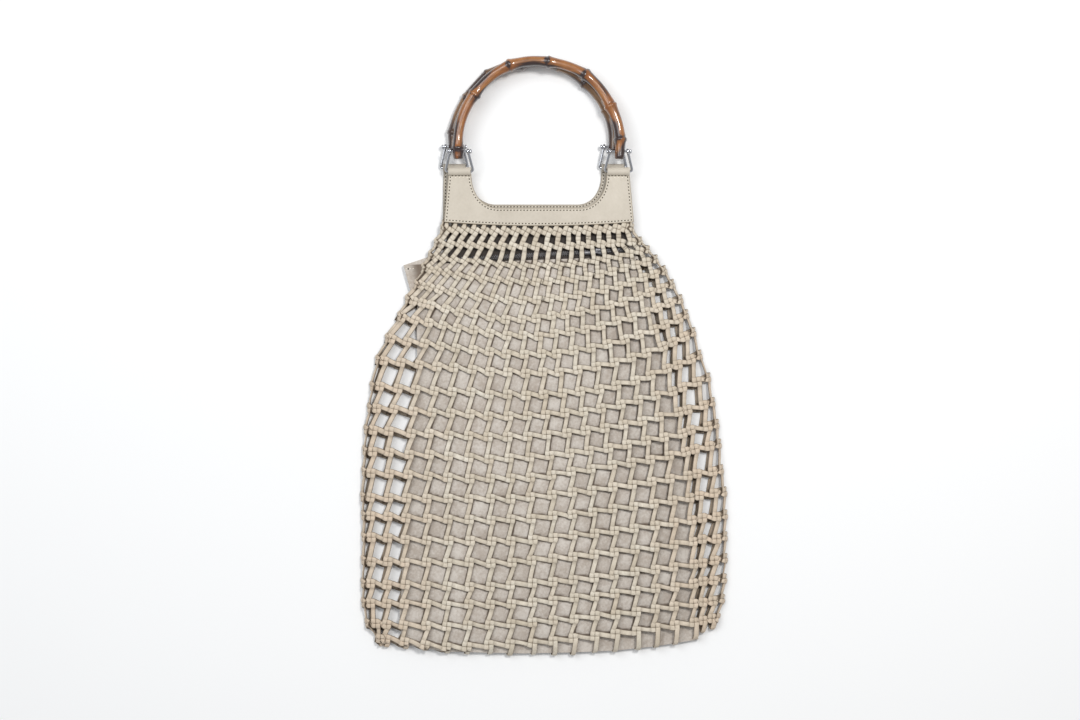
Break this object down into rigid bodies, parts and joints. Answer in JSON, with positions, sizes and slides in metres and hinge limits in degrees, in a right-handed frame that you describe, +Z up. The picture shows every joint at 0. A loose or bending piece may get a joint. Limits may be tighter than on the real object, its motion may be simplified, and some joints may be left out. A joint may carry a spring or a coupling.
{
  "type": "mesh handbag",
  "caption": "Flat-lying mesh handbag: a knotted leather strip net over a flat suede pouch, on stiff leather yokes with bamboo D handles that swing on steel shackles.",
  "frame": {"origin": "bottom centre of the bag's bounding box, where it lies on its back", "axes": "+X to the right across the front, +Y from the base towards the handles, +Z up out of the front"},
  "size_m": [0.3646, 0.6015, 0.0285],
  "materials": {
    "net_leather": "smooth cut strip, satin",
    "yoke_leather": "fine grain, satin",
    "suede": "brushed suede, matt",
    "zip_tape": "woven cotton, matt",
    "zip_metal": "polished",
    "steel": "polished",
    "bamboo": "lacquered, glossy"
  },
  "bodies": {
    "bag": {"net": "net_leather", "pouch_back": "suede", "pouch_front": "suede", "yoke_back": "yoke_leather", "yoke_front": "yoke_leather", "zip_slider": "zip_metal", "zip_tape_lower": "zip_tape", "zip_tape_upper": "zip_tape", "zip_teeth": "zip_metal"},
    "front_shackles": {"shackle_front_left": "steel", "shackle_front_right": "steel"},
    "front_handle": {"handle_front": "bamboo", "pin_front_left": "steel", "pin_front_right": "steel"},
    "back_shackles": {"shackle_back_left": "steel", "shackle_back_right": "steel"},
    "back_handle": {"handle_back": "bamboo", "pin_back_left": "steel", "pin_back_right": "steel"}
  },
  "joints": [
    {"name": "front_shackle_swing", "type": "hinge", "parent": "bag", "child": "front_shackles", "pos_m": [0, 0.1845, 0.0129], "axis": [1, 0, 0], "range_deg": [0, 110]},
    {"name": "front_handle_swing", "type": "hinge", "parent": "front_shackles", "child": "front_handle", "pos_m": [0, 0.20365, 0.022], "axis": [1, 0, 0], "range_deg": [0, 45]},
    {"name": "back_shackle_swing", "type": "hinge", "parent": "bag", "child": "back_shackles", "pos_m": [0, 0.1885, 0.0042], "axis": [1, 0, 0], "range_deg": [-90, 0]},
    {"name": "back_handle_swing", "type": "hinge", "parent": "back_shackles", "child": "back_handle", "pos_m": [0, 0.20954, 0.0068], "axis": [1, 0, 0], "range_deg": [-45, 0]}
  ]
}
